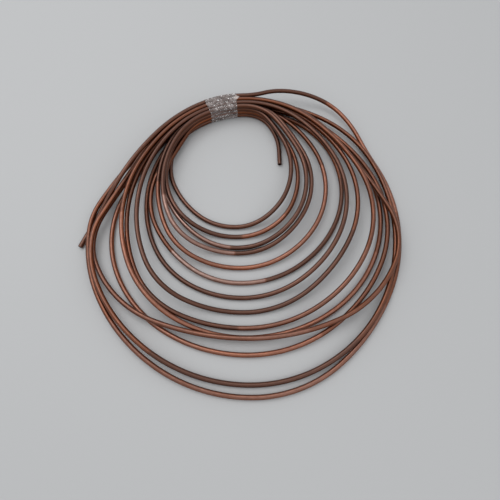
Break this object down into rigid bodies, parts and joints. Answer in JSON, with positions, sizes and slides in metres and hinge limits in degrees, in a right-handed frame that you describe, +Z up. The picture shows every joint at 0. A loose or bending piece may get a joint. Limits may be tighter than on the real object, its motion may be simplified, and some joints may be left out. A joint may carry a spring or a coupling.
{
  "type": "copper tube coil",
  "caption": "Coil of soft copper tube, opened out like a fan, with one tape band holding its turns together at the back.",
  "frame": {"origin": "centre of the coil's bounding box, on the floor that it lies on", "axes": "+Z up, +Y towards the taped back of the coil, +X to the right as seen from the open front"},
  "size_m": [0.4421, 0.452, 0.0296],
  "materials": {
    "copper": "drawn, dulled brown by handling and air",
    "clear_tape": "crinkled clear packing tape"
  },
  "bodies": {
    "root": {"copper_tube": "copper", "tape_wrap": "clear_tape"}
  },
  "joints": []
}
